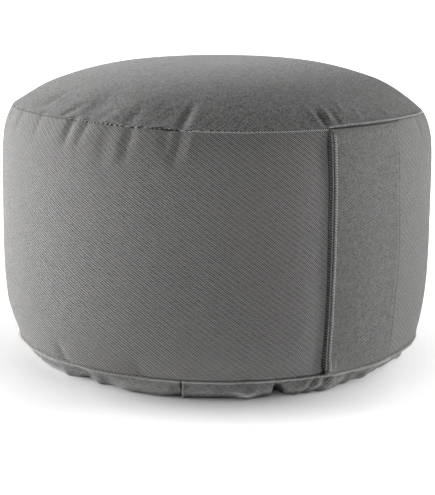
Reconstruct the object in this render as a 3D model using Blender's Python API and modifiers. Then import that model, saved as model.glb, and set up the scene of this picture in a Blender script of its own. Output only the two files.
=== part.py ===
"""Round sitting cushion: a filled drum of grey twill with a crowned top panel, a pleated base panel and
a carry strap sewn into both seams.

Metres, +Z up. The origin is the centre of the flat base, and the strap faces -Y. An azimuth is counted
in degrees from -Y, anticlockwise seen from above, so +90 lies towards +X.
"""

import math

import bmesh
import bpy
from mathutils import Vector

# ---- driving dimensions ------------------------------------------------------------------------------
SEAM_RADIUS = 0.142  # both seams run on circles of this radius
TOP_SEAM_HEIGHT = 0.170
BASE_SEAM_HEIGHT = 0.011
BELLY = 0.0078  # how far the filled side stands out past the seams
CROWN_RISE = 0.032  # top seam to the middle of the top
BASE_FLAT_RADIUS = 0.115  # the cushion stands on this flat
RIM = 0.020  # the width, outside that radius, in which the unevenness begins

CLOTH = 0.002  # a panel: twill with its turned-in seam allowance
STRAP_WIDTH = 0.058
STRAP_BASE_WIDTH = 0.055  # gathered a little at the base seam
STRAP_THICKNESS = 0.0024  # twill folded double
STRAP_EDGE = 0.0007  # rounding of its folded edges
STRAP_FLATNESS = 0.4  # 1 is straight across, 0 follows the belly's curve
STRAP_SEWN_REACH = 0.022  # near the seams, over this length, it goes over to the seams' curve
STRAP_PRESS = 0.0035  # how deep the taut strap presses the belly in
STRAP_PRESS_WIDTH = 0.046  # over this width it is pressed in evenly
STRAP_PRESS_REACH = 0.024  # and over this length on each side it swells out again
GAP = 0.0003  # between pieces that touch
STRAP_CLEAR = 0.0006  # from the belly's true curve, which its facets cut inside of, to the strap

CROWN_FULLNESS = 3.3  # exponent of the crown: the higher, the flatter the middle
SIDE_FULLNESS_ABOVE = 6.5  # the same for the side's upper and lower half
SIDE_FULLNESS_BELOW = 3.3
STRAP_PRESS_FULLNESS = 4  # for the strap's hollow, from seam to seam
BULGE_FULLNESS = 10  # and for the border's bulges, along the seam
SEGMENTS = 120  # round the cushion
STRAP_COLUMNS = 12
STRAP_ROWS = 26
SHARP_EDGE = 50  # degrees; edges with a smaller turn are shaded smooth

# ---- unevenness --------------------------------------------------------------------------------------
# Waves round the cushion, how far the side is from a true circle and each seam from level: how many
# waves, phase in degrees, height.
SIDE_WAVES = (
    (1, -49, 0.0004),
    (2, -98, 0.0005),
    (3, 33, 0.0003),
)
TOP_SEAM_WAVES = (
    (1, 131, 0.0028),
    (3, -57, 0.0011),
)
BASE_SEAM_WAVES = (
    (1, 131, 0.0012),
    (2, 262, 0.0013),
)
CROWN_HOLD = 8  # the higher, the sooner the top panel is level again inside its seam
LEAN_AZIMUTH = 49  # the top leans this way over the base
LEAN = 0.0016

# Puckers of the side band, drawn in at a seam. Azimuth of the foot at the seam, which seam, length away
# from the seam, half width, depth, and lean: how far it runs sideways for each metre along.
BAND_PUCKERS = (
    (-96, "top", 0.016, 0.008, 0.0009, 0.25),
    (-82, "top", 0.020, 0.008, 0.0016, -0.55),
    (-77, "top", 0.022, 0.008, 0.0018, -0.55),
    (-65, "top", 0.030, 0.009, 0.0024, -0.40),
    (-56, "top", 0.018, 0.007, 0.0009, -0.50),
    (-50, "top", 0.032, 0.010, 0.0030, -0.75),
    (-30, "top", 0.016, 0.008, 0.0007, -0.30),
    (-84, "base", 0.020, 0.008, 0.0016, -0.60),
    (-59, "base", 0.022, 0.009, 0.0010, -0.45),
    (-33, "base", 0.018, 0.008, 0.0007, -0.40),
    (24, "top", 0.020, 0.008, 0.0014, 0.40),
    (47, "top", 0.026, 0.009, 0.0020, 0.35),
    (71, "top", 0.018, 0.008, 0.0012, -0.30),
    (98, "top", 0.030, 0.010, 0.0024, 0.45),
    (129, "top", 0.020, 0.008, 0.0014, -0.40),
    (157, "top", 0.026, 0.009, 0.0020, -0.35),
    (186, "top", 0.018, 0.008, 0.0012, 0.30),
    (214, "top", 0.028, 0.010, 0.0022, -0.50),
    (243, "top", 0.020, 0.008, 0.0014, 0.30),
    (38, "base", 0.020, 0.008, 0.0012, -0.40),
    (84, "base", 0.024, 0.009, 0.0016, 0.40),
    (140, "base", 0.020, 0.008, 0.0012, -0.30),
    (199, "base", 0.022, 0.009, 0.0016, 0.45),
    (236, "base", 0.018, 0.008, 0.0010, -0.40),
)

PUCKER_AT_SEAM = 0.25  # how far into its deepening a pucker starts
PUCKER_DEEPEST = 0.35  # share of its length in which it gets deep

# Soft hollows of the top panel near its seam. Azimuth and inset from the seam of the middle, half length
# inwards, half width along the seam, depth, and lean of the long way, as above.
CROWN_HOLLOWS = (
    (-128, 0.016, 0.016, 0.020, 0.0026, 0.00),
    (-98, 0.013, 0.012, 0.009, 0.0022, 0.30),
    (-77, 0.014, 0.012, 0.012, 0.0014, 0.00),
    (-54, 0.011, 0.012, 0.013, 0.0014, 0.00),
    (-50, 0.009, 0.015, 0.006, 0.0024, 0.35),
    (-12, 0.009, 0.014, 0.006, 0.0024, 0.10),
    (-4, 0.016, 0.012, 0.007, 0.0010, 0.30),
    (12, 0.010, 0.012, 0.008, 0.0012, 0.30),
    (36, 0.012, 0.014, 0.009, 0.0018, -0.20),
    (66, 0.014, 0.014, 0.012, 0.0016, 0.20),
    (103, 0.012, 0.016, 0.008, 0.0022, -0.30),
    (146, 0.013, 0.014, 0.011, 0.0016, 0.20),
    (178, 0.012, 0.014, 0.008, 0.0020, 0.10),
    (223, 0.014, 0.014, 0.010, 0.0018, -0.20),
)

HOLLOW_AT_SEAM = 0.2  # the stitches hold the panel up to this share of a hollow's depth
HOLLOW_FREE = 0.006  # inset from which it is free

# Folds of the gathered base border. Azimuth at the base seam, half width, how far the fold stands out
# (or, below zero, in), and its lean from the seam down to the floor.
BORDER_FOLDS = (
    (-89, 0.006, 0.0016, 0.6),
    (-82, 0.009, -0.0026, 0.2),
    (-75, 0.006, 0.0020, -0.2),
    (-62, 0.010, -0.0010, 0.3),
    (-51, 0.004, -0.0024, 0.0),
    (-48, 0.005, 0.0022, 0.0),
    (-34, 0.007, 0.0034, 0.0),
    (-25, 0.009, -0.0016, 0.3),
    (-17, 0.005, 0.0022, -0.7),
    (-11, 0.005, 0.0022, -0.8),
    (-4, 0.010, -0.0026, -0.5),
    (4, 0.006, 0.0016, -0.5),
    (15, 0.008, -0.0014, 0.4),
    (27, 0.006, 0.0016, 0.3),
    (41, 0.009, -0.0020, -0.2),
    (49, 0.006, 0.0020, 0.2),
    (68, 0.009, -0.0014, 0.4),
    (80, 0.006, 0.0018, 0.3),
    (97, 0.010, -0.0020, -0.3),
    (112, 0.006, 0.0018, -0.4),
    (127, 0.009, -0.0016, 0.3),
    (141, 0.006, 0.0018, 0.2),
    (158, 0.010, -0.0020, -0.2),
    (171, 0.006, 0.0016, 0.4),
    (190, 0.009, -0.0018, -0.3),
    (204, 0.006, 0.0020, 0.3),
    (221, 0.010, -0.0018, 0.2),
    (238, 0.006, 0.0018, -0.3),
    (252, 0.009, -0.0014, 0.2),
)

BORDER_FREE = 0.0066  # run below the seam from which a border fold has its full depth
BORDER_TUCK = 0.0065  # how far the border is drawn in under the cushion
BORDER_SPREAD = 0.002  # how far it spreads outwards instead along its bulges
BORDER_BULGES = (  # azimuth, half width
    (-36, 0.082),
    (135, 0.070),
    (215, 0.050),
)

# ---- stations: where the turned profiles have a point -------------------------------------------------
SIDE_STATIONS = (1, 0.965, 0.92, 0.86, 0.78, 0.64, 0.46, 0.3, 0.18, 0.1, 0.045, 0)  # seam to seam, by height
CROWN_STATIONS = (0, 0.35, 0.6, 0.75, 0.85, 0.92, 0.97, 1)  # middle to seam, by radius
BORDER_STATIONS = (1, 0.5)  # down the upright part of the base border
CORNER_RADIUS = 0.0058  # where the border turns under the base
CORNER_ANGLES = (0, 30, 60, 90)


def blend(low, high, share):
    return low + (high - low) * share


def smooth(share):
    """0 below 0, 1 above 1, an even S between."""
    share = min(max(share, 0.0), 1.0)
    return share * share * (3 - 2 * share)


def side_radius(height):
    """The side's radius at a height between the seams, before it is made uneven."""
    share = (height - BASE_SEAM_HEIGHT) / (TOP_SEAM_HEIGHT - BASE_SEAM_HEIGHT)
    fullness = SIDE_FULLNESS_ABOVE if share > 0.5 else SIDE_FULLNESS_BELOW
    return SEAM_RADIUS + BELLY * (1 - abs(2 * share - 1) ** fullness)


def crown_profile(inset):
    """The top panel from its middle to its seam, moved in by inset along the surface's normal."""
    points = []
    for station in CROWN_STATIONS:
        height = TOP_SEAM_HEIGHT + CROWN_RISE * (1 - station**CROWN_FULLNESS)
        slope = CROWN_RISE * CROWN_FULLNESS * station ** (CROWN_FULLNESS - 1) / SEAM_RADIUS
        normal = Vector((slope, 1)).normalized()
        points.append(Vector((station * SEAM_RADIUS, height)) - normal * inset)
    return points


def base_profile(inset):
    """The base panel from its seam down the border, round the corner and along the flat to its middle."""
    points = []
    for share in BORDER_STATIONS:
        points.append(Vector((SEAM_RADIUS - inset, blend(CORNER_RADIUS, BASE_SEAM_HEIGHT, share))))
    middle = Vector((SEAM_RADIUS - CORNER_RADIUS, CORNER_RADIUS))
    for angle in CORNER_ANGLES:
        turn = math.radians(angle)
        points.append(middle + (CORNER_RADIUS - inset) * Vector((math.cos(turn), -math.sin(turn))))
    points.append(Vector((BASE_FLAT_RADIUS, inset)))
    points.append(Vector((0, inset)))
    return points


# ---- the uneven form ---------------------------------------------------------------------------------
def azimuth_of(x, y):
    return math.atan2(x, -y)


def arc_from(azimuth, degrees):
    """The arc on the seam circle from an azimuth in degrees to one in radians, the short way round."""
    turn = azimuth - math.radians(degrees)
    return SEAM_RADIUS * math.atan2(math.sin(turn), math.cos(turn))


def trough(across):
    """1 in the middle of a fold, a low ridge on each side of it, 0 further out."""
    return (1 - across * across) * math.exp(-across * across)


def wave_sum(table, azimuth):
    return sum(height * math.cos(waves * azimuth + math.radians(phase)) for waves, phase, height in table)


def lift(azimuth, height):
    """How far the side at a height lies above its level place."""
    if height < BASE_SEAM_HEIGHT:
        return wave_sum(BASE_SEAM_WAVES, azimuth) * smooth(height / BASE_SEAM_HEIGHT)
    share = (height - BASE_SEAM_HEIGHT) / (TOP_SEAM_HEIGHT - BASE_SEAM_HEIGHT)
    return blend(wave_sum(BASE_SEAM_WAVES, azimuth), wave_sum(TOP_SEAM_WAVES, azimuth), min(share, 1))


def wobble(azimuth, height):
    """How far the side at a height lies outside its even radius, from its waves and its lean."""
    lean = LEAN * (min(height, TOP_SEAM_HEIGHT) / TOP_SEAM_HEIGHT - 0.5)
    return wave_sum(SIDE_WAVES, azimuth) + lean * math.cos(azimuth - math.radians(LEAN_AZIMUTH))


def pucker_depth(azimuth, height):
    """How far the side is drawn in by its puckers."""
    depth = 0.0
    for degrees, seam, length, half_width, deepest, lean in BAND_PUCKERS:
        away = TOP_SEAM_HEIGHT - height if seam == "top" else height - BASE_SEAM_HEIGHT
        if away > length:
            continue
        across = (arc_from(azimuth, degrees) - lean * away) / half_width
        along = smooth(PUCKER_AT_SEAM + away / (PUCKER_DEEPEST * length)) * (1 - smooth(away / length))
        depth += deepest * trough(across) * along
    return depth


def strap_press(across, height):
    """How far the belly is pressed in at a distance from the strap's centre line."""
    beside = smooth((abs(across) - STRAP_PRESS_WIDTH / 2) / STRAP_PRESS_REACH)
    share = (height - BASE_SEAM_HEIGHT) / (TOP_SEAM_HEIGHT - BASE_SEAM_HEIGHT)
    return STRAP_PRESS * (1 - beside) * (1 - abs(2 * share - 1) ** STRAP_PRESS_FULLNESS)


def hollow_depth(azimuth, radius):
    """How far the top panel sinks in its hollows."""
    depth = 0.0
    for degrees, inset, half_length, half_width, deepest, lean in CROWN_HOLLOWS:
        along = SEAM_RADIUS - radius - inset
        across = arc_from(azimuth, degrees) - lean * along
        depth += deepest * math.exp(-((along / half_length) ** 2) - (across / half_width) ** 2)
    return depth * blend(HOLLOW_AT_SEAM, 1, smooth((SEAM_RADIUS - radius) / HOLLOW_FREE))


def border_push(azimuth, run):
    """How far the folds of the base border stand out, at a run from the base seam down and under."""
    push = 0.0
    for degrees, half_width, out, lean in BORDER_FOLDS:
        across = (arc_from(azimuth, degrees) - lean * run) / half_width
        push += out * trough(across)
    bulging = sum(
        math.exp(-((arc_from(azimuth, degrees) / half_width) ** BULGE_FULLNESS))
        for degrees, half_width in BORDER_BULGES
    )
    push += blend(-BORDER_TUCK, BORDER_SPREAD, min(bulging, 1))
    return push * smooth(run / BORDER_FREE)


def shift(azimuth, foot):
    """How far out and up the cushion's surface moves from its even form at a foot, a (radius, height)."""
    up = lift(azimuth, foot.y)
    if foot.y >= TOP_SEAM_HEIGHT:
        up *= (foot.x / SEAM_RADIUS) ** CROWN_HOLD
        up -= hollow_depth(azimuth, foot.x)
    side_height = min(max(foot.y, BASE_SEAM_HEIGHT), TOP_SEAM_HEIGHT)
    out = wobble(azimuth, side_height) - pucker_depth(azimuth, side_height)
    out -= strap_press(arc_from(azimuth, 0), side_height)
    if foot.y < BASE_SEAM_HEIGHT:
        out += border_push(azimuth, BASE_SEAM_HEIGHT - foot.y + SEAM_RADIUS - foot.x)
    return out * smooth((foot.x - BASE_FLAT_RADIUS) / RIM), up


# ---- building ----------------------------------------------------------------------------------------
def clear_scene():
    for thing in list(bpy.data.objects):
        bpy.data.objects.remove(thing, do_unlink=True)


def make_collection(name):
    collection = bpy.data.collections.new(name)
    bpy.context.scene.collection.children.link(collection)
    return collection


def make_material(name, colour, roughness):
    material = bpy.data.materials.new(name)
    material.use_nodes = True
    shader = material.node_tree.nodes["Principled BSDF"]
    shader.inputs["Base Color"].default_value = (*colour, 1)
    shader.inputs["Roughness"].default_value = roughness
    shader.inputs["Metallic"].default_value = 0.0
    return material


def split_quad(face, place):
    """Split a quad along the diagonal that runs down and round, so that faces which lie on each other match.

    place gives each corner's azimuth and how far round from the top its foot lies.
    """
    first, second, third, fourth = face.verts
    turn = place[third][0] - place[first][0]
    down = place[third][1] - place[first][1]
    if math.sin(turn) * down > 0:
        bmesh.utils.face_split(face, first, third)
    else:
        bmesh.utils.face_split(face, second, fourth)


def turned(name, profile, collection, material):
    """A solid turned from a profile and then made uneven.

    The profile is run down the outer side. Each of its rows is a (radius, height) and that row's foot,
    the point of the cushion's outer surface that it moves with.
    """
    outline = bpy.data.meshes.new(name + "_profile")
    edges = [(i, i + 1) for i in range(len(profile) - 1)]
    outline.from_pydata([(point.x, 0, point.y) for point, foot in profile], edges, [])
    guide = bpy.data.objects.new(name + "_profile", outline)
    collection.objects.link(guide)
    screw = guide.modifiers.new("turn", "SCREW")
    screw.axis = "Z"
    screw.angle = math.tau
    screw.steps = SEGMENTS
    screw.render_steps = SEGMENTS
    screw.use_merge_vertices = True
    screw.merge_threshold = 0.00001
    mesh = bpy.data.meshes.new_from_object(guide.evaluated_get(bpy.context.evaluated_depsgraph_get()))
    bpy.data.objects.remove(guide, do_unlink=True)
    mesh.name = name
    form = bmesh.new()
    form.from_mesh(mesh)
    place = {}
    for vertex in form.verts:
        radius = math.hypot(vertex.co.x, vertex.co.y)
        azimuth = azimuth_of(vertex.co.x, vertex.co.y)
        station = Vector((radius, vertex.co.z))
        point, foot = min(profile, key=lambda row: (row[0] - station).length)
        out, up = shift(azimuth, foot)
        radius += out
        vertex.co = (radius * math.sin(azimuth), -radius * math.cos(azimuth), vertex.co.z + up)
        place[vertex] = (azimuth, math.atan2(foot.x, foot.y - TOP_SEAM_HEIGHT / 2))
    for face in list(form.faces):
        if len(face.verts) == 4:
            split_quad(face, place)
    form.to_mesh(mesh)
    form.free()
    mesh.materials.clear()
    mesh.materials.append(material)
    mesh.shade_smooth()
    mesh.set_sharp_from_angle(angle=math.radians(SHARP_EDGE))
    piece = bpy.data.objects.new(name, mesh)
    collection.objects.link(piece)
    return piece


def cushion_body(collection, material):
    """The filled drum: under the top panel, down the side band, then over the base panel."""
    under = CLOTH + GAP
    top_seam = Vector((SEAM_RADIUS, TOP_SEAM_HEIGHT))
    base_seam = Vector((SEAM_RADIUS, BASE_SEAM_HEIGHT))
    profile = list(zip(crown_profile(under), crown_profile(0)))
    profile.append((profile[-1][0] + Vector((GAP, -GAP)), top_seam))
    for share in SIDE_STATIONS:
        level = blend(BASE_SEAM_HEIGHT + GAP, TOP_SEAM_HEIGHT - GAP, share)
        point = Vector((side_radius(level), level))
        profile.append((point, point))
    profile.append((Vector((SEAM_RADIUS - under, BASE_SEAM_HEIGHT + GAP)), base_seam))
    profile += list(zip(base_profile(under), base_profile(0)))[1:]
    return turned("cushion_body", profile, collection, material)


def top_panel(collection, material):
    """The crowned disc: its outer face from the middle to the seam, then its inner face back."""
    outer = crown_profile(0)
    profile = list(zip(outer, outer)) + list(zip(crown_profile(CLOTH), outer))[::-1]
    return turned("top_panel", profile, collection, material)


def bottom_panel(collection, material):
    """The base disc with its gathered border: its inner face from the middle out, then its outer face back."""
    outer = base_profile(0)
    profile = list(zip(base_profile(CLOTH), outer))[::-1] + list(zip(outer, outer))
    return turned("bottom_panel", profile, collection, material)


def carry_strap(collection, material):
    """A flat strap over the belly. It lies straight across, and follows the seams' curve at its two ends."""
    grid = bmesh.new()
    bmesh.ops.create_grid(grid, x_segments=STRAP_COLUMNS, y_segments=STRAP_ROWS, size=1)
    top = TOP_SEAM_HEIGHT - STRAP_CLEAR
    low = BASE_SEAM_HEIGHT + STRAP_CLEAR
    for vertex in grid.verts:
        height = blend(low, top, (vertex.co.y + 1) / 2)
        width = blend(STRAP_BASE_WIDTH, STRAP_WIDTH, smooth((height - low) / STRAP_SEWN_REACH))
        across = vertex.co.x * width / 2
        middle = side_radius(height) - strap_press(0, height) + STRAP_CLEAR
        curved = math.sqrt(middle**2 - across**2)
        flat = blend(curved, middle, STRAP_FLATNESS)
        free = smooth(min(top - height, height - low) / STRAP_SEWN_REACH)
        outward = blend(curved, flat, free)
        azimuth = azimuth_of(across, -outward)
        larger = 1 + wobble(azimuth, height) / middle
        vertex.co = (across * larger, -outward * larger, height + lift(azimuth, height))
    bmesh.ops.recalc_face_normals(grid, faces=grid.faces)
    mesh = bpy.data.meshes.new("carry_strap")
    grid.to_mesh(mesh)
    grid.free()
    mesh.materials.append(material)
    mesh.shade_smooth()
    piece = bpy.data.objects.new("carry_strap", mesh)
    collection.objects.link(piece)
    thicken = piece.modifiers.new("folded_double", "SOLIDIFY")
    thicken.thickness = STRAP_THICKNESS
    thicken.offset = 1
    rounded = piece.modifiers.new("soft_edges", "BEVEL")
    rounded.width = STRAP_EDGE
    rounded.segments = 1
    rounded.limit_method = "ANGLE"
    rounded.angle_limit = math.radians(SHARP_EDGE)
    return piece


def main():
    clear_scene()
    collection = make_collection("zafu_cushion")
    cushion_body(collection, make_material("side_twill", (0.235, 0.232, 0.226), 0.92))
    top_panel(collection, make_material("top_twill", (0.250, 0.247, 0.240), 0.92))
    bottom_panel(collection, make_material("base_twill", (0.225, 0.222, 0.216), 0.92))
    carry_strap(collection, make_material("strap_twill", (0.205, 0.203, 0.200), 0.90))


main()
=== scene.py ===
"""The looks of a round sitting cushion: a drum of grey twill, filled tight, with a flat carry strap.

Metres, +Z up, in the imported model's frame: the origin is the centre of the flat base, and the strap faces
-Y. An azimuth is counted in degrees from -Y, anticlockwise seen from above, so +90 lies towards +X.
"""

import math

import bpy
import numpy as np
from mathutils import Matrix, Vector


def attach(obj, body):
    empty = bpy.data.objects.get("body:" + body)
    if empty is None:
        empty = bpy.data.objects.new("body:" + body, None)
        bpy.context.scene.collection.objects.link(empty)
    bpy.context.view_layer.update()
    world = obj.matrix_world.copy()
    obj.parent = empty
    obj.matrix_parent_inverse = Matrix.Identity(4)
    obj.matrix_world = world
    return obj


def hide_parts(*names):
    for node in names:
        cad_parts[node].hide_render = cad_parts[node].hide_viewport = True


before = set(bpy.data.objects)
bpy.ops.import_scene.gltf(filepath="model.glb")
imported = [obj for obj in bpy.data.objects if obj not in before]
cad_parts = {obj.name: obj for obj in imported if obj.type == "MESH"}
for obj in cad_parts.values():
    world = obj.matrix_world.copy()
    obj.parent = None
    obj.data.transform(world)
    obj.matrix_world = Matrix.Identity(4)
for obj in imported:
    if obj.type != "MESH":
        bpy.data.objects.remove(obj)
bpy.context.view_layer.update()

# ---- the stuffed cover -------------------------------------------------------------------------------
# A strip of twill sewn into a ring between two round panels, and stuffed hard with husk: the side stands
# out in a belly and the top in a crown. The seams gather the cloth, so it is stuffed here by a cloth
# simulation, whose wrinkles the band and the top panel then share.
SEAM_RADIUS = 0.142
TOP_SEAM_HEIGHT = 0.170
BASE_SEAM_HEIGHT = 0.011
BELLY = 0.0078  # how far the side stands out past the seams
FULLNESS_ABOVE = 6.5  # the higher, the straighter the side and the sharper its turn to the seam
FULLNESS_BELOW = 3.3
CROWN_RISE = 0.032
CROWN_FULLNESS = 3.3  # the higher, the flatter the middle and the steeper the rim
CROWN_HOLD = 8  # the higher, the sooner the top panel is level again inside its seam
BASE_FLAT_RADIUS = 0.115
RIM = 0.020  # outside that radius the unevenness begins within this width
CORNER_RADIUS = 0.0058  # where the base panel turns under
SIDE_WAVES = ((1, -49, 0.0004), (2, -98, 0.0005), (3, 33, 0.0003))  # waves, phase in degrees, height
TOP_SEAM_WAVES = ((1, 131, 0.0028), (3, -57, 0.0011))
BASE_SEAM_WAVES = ((1, 131, 0.0012), (2, 262, 0.0013))
LEAN = 0.0016  # the top leans over the base this far, towards this azimuth
LEAN_AZIMUTH = 49
DRAWN_IN = (  # azimuth, reach round the drum, seam (0 base, 1 top), reach up or down the band, depth
    (-130, 0.050, 0, 0.16, 0.0036),
    (-142, 0.042, 1, 0.12, 0.0013),
    (50, 0.034, 1, 0.12, 0.0006),
)
STRAP_PRESS = 0.0035  # how deep the taut strap presses the belly in
STRAP_PRESS_WIDTH = 0.046
STRAP_PRESS_REACH_LEFT = 0.024  # how far beside the strap the belly is full again
STRAP_PRESS_REACH_RIGHT = 0.120
STRAP_PRESS_FULLNESS = 4
CLEAR_ENDS = 8  # the fullness of a stretch that clearly begins and ends

SIM_COLUMNS = 240
SIM_CROWN_ROWS = 28
SIM_BAND_ROWS = 36
SIM_BASE_ROWS = 8
SIM_FRAMES = 20
STUFFING_PRESSURE = 4
GATHER = 0.10  # how much longer than its seam the cloth beside it was cut, at the most
GATHER_REACH = 0.018
GATHER_WAVES = (5, 8, 13, 19)  # round the drum
GATHER_MEAN = 0.4
GATHER_SWING = 0.3
GATHER_SEED = 5
ROUGH_COVER = 0.0004  # a random unevenness that lets the wrinkles start, as a share
CROWN_MIDDLE = 0.1  # share of the radius inside which a fan closes the top
BILLOW_LIMIT = 0.003


def smooth(share):
    """0 below 0, 1 above 1, an even S between."""
    share = np.clip(share, 0, 1)
    return share * share * (3 - 2 * share)


def blend(low, high, share):
    return low + (high - low) * share


def waved(table, azimuth):
    return sum(height * np.cos(waves * azimuth + math.radians(phase)) for waves, phase, height in table)


def arc_from(azimuth, degrees):
    """The arc on the seam circle from an azimuth in degrees to others in radians, the short way round."""
    turn = azimuth - math.radians(degrees)
    return SEAM_RADIUS * np.arctan2(np.sin(turn), np.cos(turn))


def near(azimuth, degrees, reach, fullness=2):
    """1 at an azimuth in degrees, falling off round the drum; the fuller, the later and the more steeply."""
    return np.exp(-((arc_from(azimuth, degrees) / reach) ** fullness))


def on_drum(azimuth, radius, height):
    points = np.broadcast_arrays(radius * np.sin(azimuth), -radius * np.cos(azimuth), height)
    return np.stack(points, axis=-1)


def out_of_round(azimuth, share):
    """How far the drum lies outside its even radius, at shares of the way from the base to the top seam."""
    leaning = LEAN * (share - 0.5) * np.cos(azimuth - math.radians(LEAN_AZIMUTH))
    radius = waved(SIDE_WAVES, azimuth) + leaning
    for degrees, reach, seam, share_reach, depth in DRAWN_IN:
        near_seam = smooth(1 - np.abs(share - seam) / share_reach)
        radius = radius - depth * near_seam * near(azimuth, degrees, reach)
    return radius


def band_form(azimuth, share):
    """The side band, at shares of the way from the base seam to the top seam."""
    fullness = np.where(share > 0.5, FULLNESS_ABOVE, FULLNESS_BELOW)
    radius = SEAM_RADIUS + BELLY * (1 - np.abs(2 * share - 1) ** fullness) + out_of_round(azimuth, share)
    arc = arc_from(azimuth, 0)
    reach = np.where(arc < 0, STRAP_PRESS_REACH_LEFT, STRAP_PRESS_REACH_RIGHT)
    beside = smooth((np.abs(arc) - STRAP_PRESS_WIDTH / 2) / reach)
    radius = radius - STRAP_PRESS * (1 - beside) * (1 - np.abs(2 * share - 1) ** STRAP_PRESS_FULLNESS)
    low = BASE_SEAM_HEIGHT + waved(BASE_SEAM_WAVES, azimuth)
    high = TOP_SEAM_HEIGHT + waved(TOP_SEAM_WAVES, azimuth)
    return on_drum(azimuth, radius, blend(low, high, share))


def crown_form(azimuth, share):
    """The top panel, at shares of the way from its middle to its seam."""
    free = smooth((share * SEAM_RADIUS - BASE_FLAT_RADIUS) / RIM)
    radius = share * SEAM_RADIUS + out_of_round(azimuth, 1) * free
    height = TOP_SEAM_HEIGHT + CROWN_RISE * (1 - share**CROWN_FULLNESS)
    return on_drum(azimuth, radius, height + waved(TOP_SEAM_WAVES, azimuth) * share**CROWN_HOLD)


def base_form(azimuth, run):
    """The base panel, at runs from its seam down the border, round the corner and along the flat."""
    upright = BASE_SEAM_HEIGHT - CORNER_RADIUS
    turn = np.clip((run - upright) / CORNER_RADIUS, 0, math.pi / 2)
    under = np.maximum(run - upright - CORNER_RADIUS * math.pi / 2, 0)
    radius = SEAM_RADIUS - CORNER_RADIUS * (1 - np.cos(turn)) - under
    height = BASE_SEAM_HEIGHT - np.minimum(run, upright) - CORNER_RADIUS * np.sin(turn)
    free = smooth((radius - BASE_FLAT_RADIUS) / RIM)
    lifted = waved(BASE_SEAM_WAVES, azimuth) * smooth(height / BASE_SEAM_HEIGHT)
    return on_drum(azimuth, radius + out_of_round(azimuth, 0) * free, height + lifted)


def normals_of(rings):
    """The outward normals of a grid of closed rings that runs down the outer side."""
    around = np.roll(rings, -1, axis=1) - np.roll(rings, 1, axis=1)
    normals = np.cross(np.gradient(rings, axis=0), around)
    return normals / np.linalg.norm(normals, axis=2, keepdims=True)


def pushed_out(rings, amount):
    return rings + normals_of(rings) * np.asarray(amount)[..., None]


def closed_mesh(name, rings):
    """A closed mesh over a stack of rings, with a fan to a middle point at each end."""
    rows, columns = rings.shape[:2]
    points = np.concatenate([rings.reshape(-1, 3), [rings[0].mean(axis=0), rings[-1].mean(axis=0)]])
    here = np.arange(rows * columns).reshape(rows, columns)
    beside = np.roll(here, -1, axis=1)
    quads = np.stack([here[:-1], here[1:], beside[1:], beside[:-1]], axis=-1).reshape(-1, 4)
    first_fan = [(rows * columns, a, b) for a, b in zip(here[0], beside[0])]
    last_fan = [(rows * columns + 1, b, a) for a, b in zip(here[-1], beside[-1])]
    mesh = bpy.data.meshes.new(name)
    mesh.from_pydata(points.tolist(), [], quads.tolist() + first_fan + last_fan)
    mesh.shade_smooth()
    piece = bpy.data.objects.new(name, mesh)
    bpy.context.scene.collection.objects.link(piece)
    return piece


def stuffed(rings, sewn, gathered):
    """How far the stuffing moves each point of the cover along its normal."""
    cover = closed_mesh("stuffed_cover", rings)
    held = cover.vertex_groups.new(name="sewn")
    held.add(np.flatnonzero(sewn).tolist() + [sewn.size, sewn.size + 1], 1, "REPLACE")
    spare = cover.vertex_groups.new(name="gathered")
    for index, weight in enumerate(gathered.ravel().tolist()):
        spare.add([index], weight, "REPLACE")
    cloth = cover.modifiers.new("stuffing", "CLOTH")
    cloth.settings.quality = 6
    cloth.settings.mass = 0.2
    cloth.settings.tension_stiffness = 25
    cloth.settings.compression_stiffness = 25
    cloth.settings.shear_stiffness = 10
    cloth.settings.bending_stiffness = 0.15
    cloth.settings.vertex_group_mass = "sewn"
    cloth.settings.vertex_group_shrink = "gathered"
    cloth.settings.shrink_min = 0
    cloth.settings.shrink_max = -GATHER
    cloth.settings.use_pressure = True
    cloth.settings.uniform_pressure_force = STUFFING_PRESSURE
    cloth.settings.effector_weights.gravity = 0
    cloth.point_cache.frame_end = SIM_FRAMES
    for number in range(1, SIM_FRAMES + 1):
        bpy.context.scene.frame_set(number)
    result = cover.evaluated_get(bpy.context.evaluated_depsgraph_get()).data
    after = np.empty(len(result.vertices) * 3)
    result.vertices.foreach_get("co", after)
    moved = after.reshape(-1, 3)[:-2].reshape(rings.shape) - rings
    bpy.data.objects.remove(cover, do_unlink=True)
    bpy.context.scene.frame_set(1)
    outward = (moved * normals_of(rings)).sum(axis=2)
    return BILLOW_LIMIT * np.tanh(outward / BILLOW_LIMIT)


def curved_through(values, place):
    """Rows of values read at places between them, on smooth curves."""
    padded = np.concatenate([values[:1], values, values[-1:]])
    index = np.clip(np.floor(place).astype(int), 0, len(values) - 2)
    part = (place - index).reshape(-1, *[1] * (values.ndim - 1))
    before, start, end, after = (padded[index + step] for step in range(4))
    cubic = 3 * (start - end) + after - before
    square = 2 * before - 5 * start + 4 * end - after
    return start + part / 2 * (end - before + part * (square + part * cubic))


def billow_at(billow, shares, row_places, azimuth):
    """The billowing of some of the cover's rows, read at shares between them and at azimuths."""
    rows = curved_through(billow, np.interp(row_places, shares, np.arange(len(shares))))
    wrapped = np.concatenate([rows[:, -1:], rows, rows[:, :2]], axis=1)
    return curved_through(wrapped.T, 1 + (azimuth % math.tau) / math.tau * SIM_COLUMNS).T


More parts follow.
